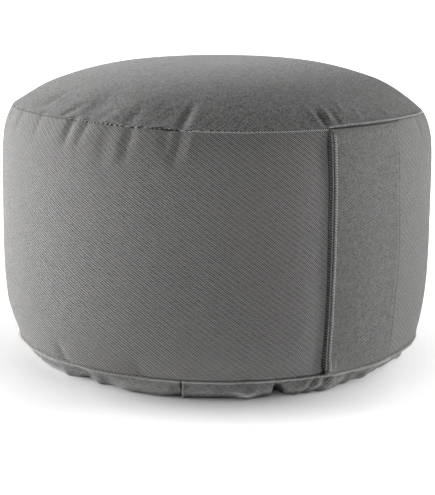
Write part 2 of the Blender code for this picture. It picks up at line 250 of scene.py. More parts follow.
sim_azimuth = np.arange(SIM_COLUMNS) / SIM_COLUMNS * math.tau
crown_shares = np.linspace(CROWN_MIDDLE, 1, SIM_CROWN_ROWS)
band_shares = np.linspace(1, 0, SIM_BAND_ROWS)
base_runs = np.linspace(0, BASE_SEAM_HEIGHT + SEAM_RADIUS / 2, SIM_BASE_ROWS)
cover_rings = np.concatenate([
    crown_form(sim_azimuth, crown_shares[:, None]),
    band_form(sim_azimuth, band_shares[1:, None]),
    base_form(sim_azimuth, base_runs[1:, None]),
])
row = np.arange(len(cover_rings))
top_seam_row = SIM_CROWN_ROWS - 1
base_seam_row = top_seam_row + SIM_BAND_ROWS - 1
from_top_seam = np.concatenate([(1 - crown_shares) * SEAM_RADIUS,
                                (1 - band_shares[1:]) * (TOP_SEAM_HEIGHT - BASE_SEAM_HEIGHT)])
from_base_seam = band_shares * (TOP_SEAM_HEIGHT - BASE_SEAM_HEIGHT)
beside_seam = np.zeros(len(cover_rings))
beside_seam[:len(from_top_seam)] = np.exp(-((from_top_seam / GATHER_REACH) ** 2))
beside_seam[top_seam_row:base_seam_row + 1] += np.exp(-((from_base_seam / GATHER_REACH) ** 2))
chance = np.random.default_rng(GATHER_SEED)
uneven = sum(np.cos(waves * sim_azimuth + chance.uniform(0, math.tau)) for waves in GATHER_WAVES)
gathered = beside_seam[:, None] * np.clip(GATHER_MEAN + GATHER_SWING * uneven, 0, 1)
sewn = (row == top_seam_row) | (row >= base_seam_row) | (row < 2)
sewn = np.broadcast_to(sewn[:, None], cover_rings.shape[:2])
billow = np.zeros(cover_rings.shape[:2])
rough = cover_rings * (1 + ROUGH_COVER * chance.standard_normal(cover_rings.shape[:2])[..., None])
billow = stuffed(rough, sewn, gathered)
crown_billow = billow[:top_seam_row + 1]
band_billow = billow[top_seam_row:base_seam_row + 1]

# ---- the side band -----------------------------------------------------------------------------------
# A strip of salt-and-pepper twill, about 93 cm round and 16 cm high between its seams. Its diagonal ribs
# rise to the right, about 0.9 mm apart. It is one closed body with the husk that fills it.
BAND_COLUMNS = 640
BAND_ROWS = 112
SEAM_ROLL = 0.0013  # how deep the cloth turns in to the stitches of a seam
SEAM_ROLL_WIDTH = 0.0006
BASE_SEAM_ROLL = 0.0011
BASE_SEAM_ROLL_WIDTH = 0.0008
BASE_SEAM_ROLL_HEIGHT = 0.0012  # above the base seam, where the band turns in behind the border's edge
LIP_HEIGHT = 0.0004  # a rolled lip on the band under the top seam, left of the strap
LIP_WIDTH = 0.0005
LIP_DROP = 0.0008
LIP_AZIMUTH = -30
LIP_REACH = 0.046
LIP_CLOSES = 0.85  # how much shallower the seam is there
CLOSED_AZIMUTH = 26  # and right of the strap
CLOSED_REACH = 0.034
STRAP_VALLEY = 0.0022  # how deep the strap's left edge presses into the cloth beside it
STRAP_VALLEY_AZIMUTH = -12.5
STRAP_VALLEY_WIDTH = 0.013
STRAP_SLOT = 0.0026  # and the narrower slot under the edge itself
STRAP_SLOT_AZIMUTH = -12.15
STRAP_SLOT_WIDTH = 0.0009
STRAP_SLOT_COLUMNS = (-13.6, -10.6, 25)  # closer columns there: from and to in degrees, how many
STRAP_SLOT_FADE = 0.004  # this far from the seams the slot is at its full depth
CREASE_TAPER = 0.45  # the share of a crease's length within which it rises at each end
FILL_DEPTH = 0.005  # how far inside the top and the base panel the filled body closes
LID_SHARES = (CROWN_MIDDLE, 0.985, 8)  # of the radius: from, to, how many rows
FLOOR_RUNS = (0.002, 0.006, 0.012, 0.02, 0.06, 0.1)  # from the base seam
BAND_RIBS = (504, -953)  # round the cushion, and in a metre up it
RIB_WANDER = 0.3  # in ribs
RIB_WANDER_SCALE = 210.0  # in a metre, as are the fibres' and the mottle's
FLOAT_STEP = 0.37  # how far the floats of one rib lie past those of the next
FLOATS = 620  # in a metre
FLOAT_DEPTH = 0.2  # of the ribs' own depth
FIBRE_SCALE = 1500.0
FIBRE_CONTRAST = 2.4
MOTTLE_SCALE = 260.0
RIB_LEAST = 0.7  # the least share of the ribs' depth that a float shows
RIB_VARIES = 0.6  # and what chance adds to it at the most
YARN_CONTRAST = 0.6  # between one yarn float and the next
RELIEF_STRENGTH = 0.4
RELIEF_DEPTH = 0.0003
LIGHT_SHARE = 0.38  # how much of the twill's face is the light yarn
BAND_LIGHT_YARN = (0.360, 0.355, 0.347)
BAND_DARK_YARN = (0.008, 0.008, 0.008)
# Creases beside the seams: azimuth and distance from the seam of one end and of the other, half width,
# height (below zero for a trough).
TOP_SEAM_PUCKERS = (
    (-104.5, -0.010, -106.5, 0.020, 0.0034, -0.0010),
    (-93.0, -0.010, -95.0, 0.018, 0.0032, -0.0009),
    (-80.0, -0.010, -83.4, 0.021, 0.0030, -0.0016),
    (-75.2, -0.010, -78.4, 0.020, 0.0028, -0.0011),
    (-68.0, -0.008, -71.6, 0.034, 0.0044, -0.0008),
    (-62.3, -0.006, -65.0, 0.026, 0.0032, -0.0018),
    (-53.0, -0.005, -54.6, 0.018, 0.0030, -0.0014),
    (-49.2, -0.005, -52.8, 0.026, 0.0026, -0.0026),
    (-45.6, -0.006, -49.4, 0.024, 0.0024, 0.0012),
    (-33.0, -0.006, -34.5, 0.013, 0.0040, -0.0005),
    (24.0, -0.010, 26.8, 0.020, 0.0036, -0.0010),
    (47.0, -0.010, 50.0, 0.028, 0.0040, -0.0014),
    (51.0, -0.008, 54.0, 0.026, 0.0034, 0.0006),
    (71.0, -0.010, 69.0, 0.019, 0.0034, -0.0011),
    (98.0, -0.012, 103.0, 0.031, 0.0042, -0.0018),
    (102.0, -0.008, 107.0, 0.028, 0.0036, 0.0007),
    (129.0, -0.010, 126.0, 0.020, 0.0034, -0.0012),
    (157.0, -0.012, 154.0, 0.028, 0.0040, -0.0016),
    (160.5, -0.008, 157.5, 0.024, 0.0034, 0.0006),
    (186.0, -0.010, 188.0, 0.019, 0.0034, -0.0011),
    (214.0, -0.012, 209.5, 0.030, 0.0042, -0.0018),
    (218.0, -0.008, 213.5, 0.028, 0.0036, 0.0007),
    (243.0, -0.010, 245.0, 0.020, 0.0034, -0.0011),
)
BASE_SEAM_PUCKERS = (
    (-84.0, -0.006, -88.0, 0.018, 0.0038, -0.0013),
    (-59.5, -0.006, -63.0, 0.018, 0.0042, -0.0009),
    (-33.0, -0.006, -35.0, 0.015, 0.0036, -0.0006),
    (-11.5, -0.006, -13.5, 0.016, 0.0036, -0.0010),
    (38.0, -0.006, 35.0, 0.016, 0.0038, -0.0010),
    (84.0, -0.006, 88.0, 0.020, 0.0042, -0.0014),
    (140.0, -0.006, 137.0, 0.016, 0.0038, -0.0010),
    (199.0, -0.006, 203.0, 0.018, 0.0042, -0.0013),
    (236.0, -0.006, 233.0, 0.015, 0.0036, -0.0009),
)


def creased(azimuth, away, table):
    """How far creases lift the cloth at azimuths and at distances from its seam."""
    lifted = 0 * away * azimuth
    for near_azimuth, near_away, far_azimuth, far_away, half_width, height in table:
        run = np.array([arc_from(math.radians(far_azimuth), near_azimuth), far_away - near_away])
        length = np.linalg.norm(run)
        x = arc_from(azimuth, near_azimuth)
        y = away - near_away
        along = (x * run[0] + y * run[1]) / length**2
        across = (x * run[1] - y * run[0]) / (length * half_width)
        ends = smooth(along / CREASE_TAPER) * smooth((1 - along) / CREASE_TAPER)
        lifted = lifted + height * ends * np.exp(-across * across)
    return lifted


class Value:
    """A value in a material. Arithmetic on values adds the Math nodes that work it out."""

    def __init__(self, tree, socket):
        self.tree = tree
        self.socket = socket

    def node(self, kind, settings, inputs, output=0):
        """An output of a new node. Its settings are set first, then its sockets are filled or linked."""
        made = self.tree.nodes.new(kind)
        for name, setting in settings.items():
            setattr(made, name, setting)
        for name, content in inputs.items():
            if isinstance(content, Value):
                self.tree.links.new(content.socket, made.inputs[name])
            else:
                made.inputs[name].default_value = content
        return Value(self.tree, made.outputs[output])

    def maths(self, operation, *numbers):
        return self.node("ShaderNodeMath", {"operation": operation}, dict(enumerate(numbers)))

    def mix(self, colours):
        names = {"Factor": 0, "A": 6, "B": 7}
        inputs = {names[name]: content for name, content in colours.items()}
        return self.node("ShaderNodeMix", {"data_type": "RGBA"}, inputs, 2)

    def __add__(self, other):
        return self.maths("ADD", self, other)

    def __sub__(self, other):
        return self.maths("SUBTRACT", self, other)

    def __rsub__(self, other):
        return self.maths("SUBTRACT", other, self)

    def __mul__(self, other):
        return self.maths("MULTIPLY", self, other)

    __radd__ = __add__
    __rmul__ = __mul__

    def within(self, low, high):
        """0 up to low, 1 from high, straight between."""
        settings = {"clamp": True}
        limits = {"Value": self, "From Min": low, "From Max": high}
        return self.node("ShaderNodeMapRange", settings, limits)


def new_material(name):
    """A material, its shader, and a value that starts expressions in it."""
    material = bpy.data.materials.new(name)
    material.use_nodes = True
    shader = material.node_tree.nodes["Principled BSDF"]
    return material, shader, Value(material.node_tree, None)


def link(value, shader, socket):
    value.tree.links.new(value.socket, shader.inputs[socket])


def twill(name, weave_of, light_yarn, dark_yarn, rib_depth, grain, mottle):
    """Salt-and-pepper twill: ribs of yarn floats, the fibres that fuzz them, and a soft mottle.

    weave_of gives the ribs and the floats that are passed on the way to a place. The last three values say
    how strongly the ribs, the fibres and the mottle show.
    """
    material, shader, start = new_material(name)
    place = start.node("ShaderNodeTexCoord", {}, {}, "Object")
    split = start.node("ShaderNodeSeparateXYZ", {}, {"Vector": place})
    x, y, z = (Value(start.tree, socket) for socket in split.socket.node.outputs)
    ribs, floats = weave_of(x, y, z, start.maths("ARCTAN2", x, 0 - y))
    wander = {"Vector": place, "Scale": RIB_WANDER_SCALE, "Detail": 1.0}
    uneven = start.node("ShaderNodeTexNoise", {}, wander, "Fac")
    ribs = ribs + (uneven - 0.5) * RIB_WANDER
    rib_number = start.maths("FLOOR", ribs)
    floats = floats + rib_number * FLOAT_STEP
    float_number = start.maths("FLOOR", floats)
    yarn = start.node("ShaderNodeCombineXYZ", {}, {"X": rib_number, "Y": float_number})
    chance = start.node("ShaderNodeTexWhiteNoise", {"noise_dimensions": "2D"}, {"Vector": yarn}, "Value")
    rib = start.maths("COSINE", ribs * math.tau) * 0.5
    float_end = start.maths("COSINE", floats * math.tau) * 0.5
    fibres = {"Vector": place, "Scale": FIBRE_SCALE, "Detail": 1.0}
    fuzz = start.node("ShaderNodeTexNoise", {}, fibres, "Fac")
    clouds = {"Vector": place, "Scale": MOTTLE_SCALE, "Detail": 2.0}
    cloudy = start.node("ShaderNodeTexNoise", {}, clouds, "Fac")
    light_rib = rib - 0.5 * math.cos(LIGHT_SHARE * math.pi)
    weave = 0.5 + light_rib * rib_depth * (RIB_LEAST + RIB_VARIES * chance)
    weave = weave + (fuzz - 0.5) * grain * FIBRE_CONTRAST
    weave = weave + float_end * rib_depth * FLOAT_DEPTH
    weave = weave + (chance - 0.5) * grain * YARN_CONTRAST
    weave = (weave + (cloudy - 0.5) * mottle).within(0, 1)
    colours = {"Factor": weave, "A": (*dark_yarn, 1), "B": (*light_yarn, 1)}
    link(start.mix(colours), shader, "Base Color")
    height = rib * rib_depth + fuzz * grain
    relief = {"Height": height, "Strength": RELIEF_STRENGTH, "Distance": RELIEF_DEPTH}
    link(start.node("ShaderNodeBump", {}, relief, "Normal"), shader, "Normal")
    shader.inputs["Roughness"].default_value = 0.9
    shader.inputs["Specular IOR Level"].default_value = 0.2
    shader.inputs["Sheen Weight"].default_value = 0.2
    shader.inputs["Sheen Roughness"].default_value = 0.5
    return material


def lipped(azimuth):
    """1 where the band's edge is rolled over the top seam, 0 elsewhere."""
    return near(azimuth, LIP_AZIMUTH, LIP_REACH, CLEAR_ENDS)


def across_seam(away, middle, width):
    """1 on a line along a seam, falling off to both sides."""
    return np.exp(-(((away - middle) / width) ** 2))


def band_weave(x, y, z, azimuth):
    return azimuth * (BAND_RIBS[0] / math.tau) + z * BAND_RIBS[1], z * FLOATS


even_columns = np.arange(BAND_COLUMNS) / BAND_COLUMNS * math.tau
slot_columns = np.radians(np.linspace(*STRAP_SLOT_COLUMNS)) % math.tau
azimuth = np.sort(np.concatenate([even_columns, slot_columns]))
band_azimuth = azimuth
share = 0.5 + 0.5 * np.cos(np.linspace(0, math.pi, BAND_ROWS))
band_height = TOP_SEAM_HEIGHT - BASE_SEAM_HEIGHT
below_top = (1 - share[:, None]) * band_height
above_base = share[:, None] * band_height
push = billow_at(band_billow[::-1], band_shares[::-1], share, azimuth)
push = push + creased(azimuth, below_top, TOP_SEAM_PUCKERS)
push = push + creased(azimuth, above_base, BASE_SEAM_PUCKERS)
puckered_seam = creased(azimuth, np.zeros(1), TOP_SEAM_PUCKERS)
closed = near(azimuth, CLOSED_AZIMUTH, CLOSED_REACH, CLEAR_ENDS)
top_roll = SEAM_ROLL * (1 - LIP_CLOSES * np.maximum(lipped(azimuth), closed))
push = push - top_roll * across_seam(below_top, 0, SEAM_ROLL_WIDTH)
push = push - BASE_SEAM_ROLL * across_seam(above_base, BASE_SEAM_ROLL_HEIGHT, BASE_SEAM_ROLL_WIDTH)
push = push + LIP_HEIGHT * lipped(azimuth) * across_seam(below_top, LIP_DROP, LIP_WIDTH)
to_seam = np.minimum(below_top, above_base)
beside_strap = STRAP_VALLEY * near(azimuth, STRAP_VALLEY_AZIMUTH, STRAP_VALLEY_WIDTH)
under_strap = STRAP_SLOT * near(azimuth, STRAP_SLOT_AZIMUTH, STRAP_SLOT_WIDTH)
push = push - beside_strap * smooth(to_seam / STRAP_VALLEY_WIDTH)
push = push - under_strap * smooth(to_seam / STRAP_SLOT_FADE)
band_rings = pushed_out(band_form(azimuth, share[:, None]), push)
lip_crest = band_rings[np.argmin(np.abs(below_top[:, 0] - LIP_DROP))]
lid = pushed_out(crown_form(azimuth, np.linspace(*LID_SHARES)[:, None]), -FILL_DEPTH)
floor_side = pushed_out(base_form(azimuth, np.array(FLOOR_RUNS)[:, None]), -FILL_DEPTH)
filled_band = closed_mesh("filled_band", np.concatenate([lid, band_rings, floor_side]))
band_cloth = twill("band_twill", band_weave, BAND_LIGHT_YARN, BAND_DARK_YARN,
                   rib_depth=6.5, grain=0.5, mottle=0.15)
filled_band.data.materials.append(band_cloth)
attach(filled_band, "root")
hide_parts("cushion_body")

# ---- the top panel -----------------------------------------------------------------------------------
# A round panel of the same twill, crowned by the filling, its yarn painted a shade darker than the
# band's as painted shade for the light the top catches from above. Its edge is turned in and sewn to
# the band; above the strap the seam holds more layers and stands up as a ridge.
CROWN_HOLLOWS = (  # azimuth and inset of the middle, half length, half width, depth, lean
    (-128, 0.024, 0.015, 0.035, -0.0009, 0.00),
    (49, 0.026, 0.013, 0.030, -0.0010, 0.00),
    (-98, 0.013, 0.010, 0.009, 0.0014, 0.30),
    (-77, 0.014, 0.012, 0.012, 0.0014, 0.00),
    (-54, 0.011, 0.012, 0.013, 0.0012, 0.00),
    (36, 0.010, 0.010, 0.009, 0.0007, -0.20),
    (66, 0.014, 0.014, 0.012, 0.0016, 0.20),
    (103, 0.012, 0.016, 0.008, 0.0022, -0.30),
    (146, 0.013, 0.014, 0.011, 0.0016, 0.20),
    (178, 0.012, 0.014, 0.008, 0.0020, 0.10),
    (223, 0.014, 0.014, 0.010, 0.0018, -0.20),
)
CROWN_CREASES = (  # as beside the band's seams, counted inwards from the top seam
    (-51.6, -0.007, -47.6, 0.026, 0.0030, -0.0016),
    (-49.4, -0.012, -45.0, 0.026, 0.0026, 0.0006),
    (-66.0, -0.010, -62.5, 0.020, 0.0034, -0.0008),
    (-75.0, -0.008, -71.0, 0.018, 0.0030, -0.0006),
    (-88.0, -0.008, -82.0, 0.020, 0.0032, -0.0008),
    (-95.1, 0.008, -95.0, 0.024, 0.0030, 0.0010),
    (-14.3, -0.004, -15.0, 0.021, 0.0016, 0.0012),
    (-12.2, -0.004, -12.5, 0.018, 0.0020, -0.0014),
    (-10.4, -0.002, -10.0, 0.020, 0.0016, 0.0012),
    (-8.4, -0.004, -7.6, 0.018, 0.0020, -0.0009),
    (-4.8, 0.005, -2.8, 0.026, 0.0020, 0.0006),
    (-1.0, 0.002, 1.4, 0.018, 0.0020, 0.0005),
    (10.8, 0.000, 12.4, 0.014, 0.0022, 0.0005),
)
HOLLOW_SEAM_FADE = 0.006  # this far inside the seam a hollow is at its full depth
SEAM_SHARE = 0.003  # within this the panel follows the band's edge
RIDGE_HEIGHT = 0.0002
RIDGE_OVER_STRAP = 0.0013
RIDGE_WIDTH = 0.0005
RIDGE_INSET = 0.0004
RIDGE_AZIMUTH = 12
RIDGE_REACH = 0.062
CROWN_EVEN_ROWS = (0.04, 0.6, 14)  # shares of the radius: from, to, how many
CROWN_CLOSER_ROWS = 47  # from there to the seam
CLOTH = 0.0014
INNER_STRIDE = 4  # the panel's inner face has one row for this many of the outer
TOP_RIBS = (890, 640)  # in a metre along +X and along +Y
# Painted shade: the top's light yarn is a shade darker than the band's, to hold down the light the top
# catches from above.
TOP_SHADED_LIGHT_YARN = (0.322, 0.318, 0.310)
TOP_DARK_YARN = (0.008, 0.008, 0.008)


def hollowed(azimuth, inset):
    depth = 0 * inset * azimuth
    for degrees, middle, half_length, half_width, deepest, lean in CROWN_HOLLOWS:
        along = inset - middle
        across = arc_from(azimuth, degrees) - lean * along
        depth = depth + deepest * np.exp(-((along / half_length) ** 2) - (across / half_width) ** 2)
    return depth * smooth(inset / HOLLOW_SEAM_FADE)


def top_weave(x, y, z, azimuth):
    return x * TOP_RIBS[0] + y * TOP_RIBS[1], (x - y) * FLOATS


even_rows = np.linspace(*CROWN_EVEN_ROWS)
closer_rows = np.sin(np.linspace(0, math.pi / 2, CROWN_CLOSER_ROWS))
share = np.concatenate([even_rows[:-1], blend(even_rows[-1], 1, closer_rows)])
inset = (1 - share[:, None]) * SEAM_RADIUS
push = billow_at(crown_billow, crown_shares, share, azimuth)
push = push + creased(azimuth, inset, CROWN_CREASES) * smooth(inset / SEAM_SHARE)
push = push - hollowed(azimuth, inset)
push = push + puckered_seam * across_seam(inset, 0, SEAM_SHARE)
over_strap = near(azimuth, RIDGE_AZIMUTH, RIDGE_REACH, CLEAR_ENDS)
ridge = RIDGE_HEIGHT + RIDGE_OVER_STRAP * over_strap
push = push + ridge * across_seam(inset, RIDGE_INSET, RIDGE_WIDTH)
top_roll = SEAM_ROLL * (1 - LIP_CLOSES * lipped(azimuth)) * (1 - over_strap)
push = push - top_roll * across_seam(inset, 0, SEAM_ROLL_WIDTH)
outer = pushed_out(crown_form(azimuth, share[:, None]), push)
ridge_crest = outer[np.argmin(np.abs(inset[:, 0] - RIDGE_INSET))]
inner = pushed_out(outer, -CLOTH)[::-INNER_STRIDE]
top_cover = closed_mesh("top_cover", np.concatenate([outer, inner]))
shaded_top_cloth = twill("top_twill", top_weave, TOP_SHADED_LIGHT_YARN, TOP_DARK_YARN,
                  rib_depth=1.1, grain=0.65, mottle=0.3)
top_cover.data.materials.append(shaded_top_cloth)
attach(top_cover, "root")
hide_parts("top_panel")

# ---- the base panel ----------------------------------------------------------------------------------
# A round panel of twill whose ribs hardly show, drawn up round the lower edge as a border about a
# centimetre high, gathered there into pleats and sewn to the band.
BORDER_FREE = 0.0066  # this far down from its seam the border lies free of it
BORDER_TUCK = 0.0065  # how far it is tucked in where it doesn't bulge
BORDER_SPREAD = 0.0036  # and how far it stands out where it does
BORDER_BULGES = ((-36, 0.082), (135, 0.070), (215, 0.050))  # azimuth, half width
BORDER_CORNERS = (  # azimuth, half width, how far out
    (-33.8, 0.0055, 0.0048),
    (-51.4, 0.0030, -0.0030),
    (-25.4, 0.0032, -0.0090),
)
BULGE_FULLNESS = 10  # how steeply the border's bulges end
BORDER_FOLDS = (  # as beside the band's seams, counted down from the base seam
    (-89, -0.004, -88, 0.022, 0.0040, 0.0014),
    (-82, -0.004, -81, 0.022, 0.0060, -0.0024),
    (-75, -0.004, -76, 0.022, 0.0045, 0.0020),
    (-62, -0.004, -61, 0.022, 0.0070, -0.0008),
    (-50.4, -0.006, -50.4, 0.022, 0.0007, -0.0036),
    (-49.5, -0.006, -49.6, 0.022, 0.0012, 0.0012),
    (-51.6, -0.006, -51.4, 0.022, 0.0016, 0.0006),
    (-24.6, 0.000, -26.2, 0.024, 0.0030, -0.0030),
    (-14.6, -0.004, -24.5, 0.018, 0.0016, 0.0014),
    (-12.8, -0.004, -22.7, 0.018, 0.0013, -0.0010),
    (-11.2, -0.004, -21.1, 0.018, 0.0016, 0.0014),
    (-9.4, -0.004, -19.0, 0.018, 0.0014, -0.0010),
    (-7.5, -0.004, -16.8, 0.018, 0.0020, 0.0014),
    (-2.5, -0.004, -10.5, 0.022, 0.0034, -0.0028),
    (6.0, -0.004, 1.0, 0.022, 0.0060, 0.0018),
    (14.0, -0.004, 11.0, 0.022, 0.0036, -0.0012),
    (27, -0.004, 28, 0.022, 0.0050, 0.0014),
    (41, -0.004, 40, 0.022, 0.0060, -0.0018),
    (49, -0.004, 50, 0.022, 0.0040, 0.0018),
    (68, -0.004, 69, 0.022, 0.0070, -0.0014),
    (80, -0.004, 81, 0.022, 0.0045, 0.0016),
    (97, -0.004, 96, 0.022, 0.0060, -0.0018),
    (112, -0.004, 111, 0.022, 0.0045, 0.0016),
    (127, -0.004, 128, 0.022, 0.0060, -0.0014),
    (141, -0.004, 142, 0.022, 0.0045, 0.0016),
    (158, -0.004, 157, 0.022, 0.0070, -0.0018),
    (171, -0.004, 172, 0.022, 0.0040, 0.0014),
    (190, -0.004, 189, 0.022, 0.0060, -0.0016),
    (204, -0.004, 205, 0.022, 0.0045, 0.0018),
    (221, -0.004, 222, 0.022, 0.0070, -0.0016),
    (238, -0.004, 237, 0.022, 0.0045, 0.0016),
    (252, -0.004, 253, 0.022, 0.0060, -0.0012),
)
SHARP_FOLDS = (-50.4, -25.4)
SHARP_COLUMNS = (-1.8, 1.8, 25)  # closer columns round a sharp fold: from and to in degrees, how many
BORDER_COLUMNS = 560
WELT_TOP = -0.0009  # the border's upper edge stands up over its seam
WELT_HEIGHT = 0.0008
WELT_WIDTH = 0.0006
WELT_DROP = 0.0001
WELT_ROLL = 0.0006
UNDER_STRAP = 0.0014  # the strap's end pushes the border out
UNDER_STRAP_REACH = 0.032
WELT_RUNS = (WELT_TOP, 0.003, 14)  # rows down the border: from, to, how many
CORNER_RUNS = (0.0035, 0.02, 22)  # and round its corner
FLAT_RUNS = (0.024, 0.03, 0.04, 0.06, 0.09, 0.12, 0.14)
BASE_INNER_STRIDE = 3
BASE_LIGHT_YARN = (0.32, 0.316, 0.309)
BASE_DARK_YARN = (0.05, 0.05, 0.05)
sharp = np.concatenate([np.radians(degrees + np.linspace(*SHARP_COLUMNS)) for degrees in SHARP_FOLDS])
even = np.arange(BORDER_COLUMNS) / BORDER_COLUMNS * math.tau
fold_azimuth = np.sort(np.concatenate([even, sharp % math.tau]))
run = np.concatenate([np.linspace(*WELT_RUNS), np.linspace(*CORNER_RUNS), FLAT_RUNS])
runs = run[:, None]
form = base_form(fold_azimuth, runs)
bulging = sum(near(fold_azimuth, degrees, half_width, BULGE_FULLNESS)
              for degrees, half_width in BORDER_BULGES)
tucked = blend(-BORDER_TUCK, BORDER_SPREAD, np.minimum(bulging, 1))
for degrees, half_width, out in BORDER_CORNERS:
    tucked = tucked + out * near(fold_azimuth, degrees, half_width)
tucked = tucked * smooth(runs / BORDER_FREE)
radius = np.hypot(form[..., 0], form[..., 1])
outside_flat = smooth((radius - BASE_FLAT_RADIUS) / RIM)
tucked = tucked * outside_flat
pushed = UNDER_STRAP * near(fold_azimuth, 0, UNDER_STRAP_REACH, CLEAR_ENDS)
pushed = pushed * outside_flat
form = form + on_drum(fold_azimuth, tucked + pushed, 0)
folds = creased(fold_azimuth, runs, BORDER_FOLDS)
folds = folds + WELT_HEIGHT * across_seam(runs, WELT_DROP, WELT_WIDTH)
folds = folds - WELT_ROLL * across_seam(runs, WELT_TOP, SEAM_ROLL_WIDTH)
outer = pushed_out(form, folds)
outer[..., 2] = np.maximum(outer[..., 2], 0.0)
welt_crest = outer[np.argmin(np.abs(run - WELT_DROP))]
inner = pushed_out(form, np.minimum(folds, 0) - CLOTH)[::-BASE_INNER_STRIDE]
base_cover = closed_mesh("base_cover", np.concatenate([inner, outer]))
base_cloth = twill("base_twill", band_weave, BASE_LIGHT_YARN, BASE_DARK_YARN,
                   rib_depth=0.6, grain=0.5, mottle=0.2)
base_cover.data.materials.append(base_cloth)
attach(base_cover, "root")
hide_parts("bottom_panel")

# ---- the carry strap ---------------------------------------------------------------------------------
# A flat strap of the same twill, folded double and stitched along both edges, with its ends caught in the
# top and the base seam. Its two layers stand apart along the left edge.
STRAP_EDGES = (  # height, left edge, right edge
    (0.011, -0.0300, 0.0279),
    (0.028, -0.0305, 0.0274),
    (0.050, -0.0306, 0.0280),
    (0.067, -0.0306, 0.0300),
    (0.090, -0.0300, 0.0309),
    (0.130, -0.0301, 0.0290),
    (0.148, -0.0306, 0.0280),
    (0.158, -0.0304, 0.0270),
    (0.170, -0.0296, 0.0306),
)
STRAP_ROWS = 320
STRAP_EDGE_COLUMNS = 12  # closer columns, within this share of the width from each edge
STRAP_EDGE_SHARE = 0.12
STRAP_MIDDLE_COLUMNS = 18
STRAP_FOOT = 0.0006  # its lower end, above the base seam
STRAP_HEAD = 0.0008  # its upper end, below the top seam
LEFT_THICKNESS = 0.0032
RIGHT_THICKNESS = 0.0018
STRAP_GAP = 0.0004
STRAP_FLATNESS = 0.38  # between its ends it lies this share of the way from the drum's curve to flat
STRAP_SEWN_REACH = 0.022
STRAP_END_TAPER = 0.003  # its ends are pressed thin in the seams
STRAP_END_SHARE = 0.4
LEFT_SINK = 0.0019  # how far its left edge follows the cloth in
LEFT_SINK_FADE = 4  # the higher, the nearer to the edge that ends
EDGE_INSET = 0.0004
LEFT_EDGE = (  # back or front (-1 to 1) and inset, round the two layers of the left edge
    (-1.00, 0.0007),
    (-0.93, 0.0002),
    (-0.80, 0.0000),
    (-0.42, 0.0000),
    (-0.34, 0.0005),
    (-0.26, 0.0018),
    (0.26, 0.0018),
    (0.34, 0.0005),
    (0.42, 0.0000),
    (0.80, 0.0000),
    (0.93, 0.0002),
    (1.00, 0.0007),
)
RIGHT_EDGE = ((1.0, 0.0007), (0.9, 0.0002), (0.6, 0.0), (-0.6, 0.0), (-0.9, 0.0002), (-1.0, 0.0007))
END_FOLD = 0.0009  # the turned-in lower end of the left edge
END_FOLD_HEIGHT = 0.021
END_FOLD_ROLL = 0.002
END_FOLD_SHARE = 0.1
STITCH_INSET = 0.0024  # from the right edge
STITCH_DENT = 0.0004
STITCH_DENT_WIDTH = 0.0006
STITCH_DENT_SHARE = 0.6  # how deep the dent stays, on average, from stitch to stitch
STITCH_PITCH = 0.0026
STRAP_RIBS = (903, 590)  # in a metre along +X and along +Z
STRAP_LIGHT_YARN = (0.312, 0.309, 0.301)
STRAP_DARK_YARN = (0.03, 0.03, 0.03)


def strap_edge(height, side):
    heights, *edges = zip(*STRAP_EDGES)
    return curved_through(np.array(edges[side]), np.interp(height, heights, np.arange(len(heights))))


def strap_section():
    """Round the strap: a place across from 0 to 1, an inset from the edges, and front or back (1 to -1)."""
    near_left = np.linspace(0, STRAP_EDGE_SHARE, STRAP_EDGE_COLUMNS)
    between = np.linspace(STRAP_EDGE_SHARE, 1 - STRAP_EDGE_SHARE, STRAP_MIDDLE_COLUMNS)
    near_right = np.linspace(1 - STRAP_EDGE_SHARE, 1, STRAP_EDGE_COLUMNS)
    across = np.concatenate([near_left[1:], between[1:], near_right[1:-1]])
    left_face, left_inset = np.array(LEFT_EDGE).T
    right_face, right_inset = np.array(RIGHT_EDGE).T
    place = np.concatenate([0 * left_face, across, 0 * right_face + 1, across[::-1]])
    inset = np.concatenate([left_inset, 0 * across + EDGE_INSET, right_inset, 0 * across + EDGE_INSET])
    face = np.concatenate([left_face, 0 * across + 1, right_face, 0 * across - 1])
    return place, inset, face


def strap_weave(x, y, z, azimuth):
    return x * STRAP_RIBS[0] + z * STRAP_RIBS[1], (x - z) * FLOATS


low_height = BASE_SEAM_HEIGHT + waved(BASE_SEAM_WAVES, 0.0) + STRAP_FOOT
high_height = TOP_SEAM_HEIGHT + waved(TOP_SEAM_WAVES, 0.0) - STRAP_HEAD
place, inset, face = strap_section()
share = np.linspace(1, 0, STRAP_ROWS)[:, None]
level = blend(low_height, high_height, share)
left = strap_edge(level[:, 0], 0)[:, None]
right = strap_edge(level[:, 0], 1)[:, None]
x = blend(left + inset, right - inset, place)
middle_radius = np.linalg.norm(band_form(np.zeros(1), share)[:, :, :2], axis=2)
from_end = np.minimum(level - low_height, high_height - level)
ends = smooth(from_end / STRAP_SEWN_REACH)
curved = np.sqrt(middle_radius**2 - x**2)
lying = blend(curved, blend(curved, middle_radius, STRAP_FLATNESS), ends)
lying = lying - LEFT_SINK * (1 - place) ** LEFT_SINK_FADE * ends
edge_azimuth = np.arctan2(x, lying)
seam_lift = blend(waved(BASE_SEAM_WAVES, edge_azimuth) - waved(BASE_SEAM_WAVES, 0.0),
                  waved(TOP_SEAM_WAVES, edge_azimuth) - waved(TOP_SEAM_WAVES, 0.0), share)
from_right = right - x
thickness = blend(LEFT_THICKNESS, RIGHT_THICKNESS, place)
end_fold = smooth((END_FOLD_HEIGHT - level) / END_FOLD_ROLL) * smooth(2 - 2 * place / END_FOLD_SHARE)
thickness = thickness + END_FOLD * end_fold
dented = STITCH_DENT_SHARE + (1 - STITCH_DENT_SHARE) * np.cos(level / STITCH_PITCH * math.tau)
dent = STITCH_DENT * dented * across_seam(from_right, STITCH_INSET, STITCH_DENT_WIDTH) * (face == 1)
pressed = blend(STRAP_END_SHARE, 1, smooth(from_end / STRAP_END_TAPER))
outward = lying + (STRAP_GAP + thickness * (face + 1) / 2) * pressed - dent
strap_rings = np.stack([x, -outward, level + seam_lift], axis=-1)
flat_strap = closed_mesh("flat_strap", strap_rings)
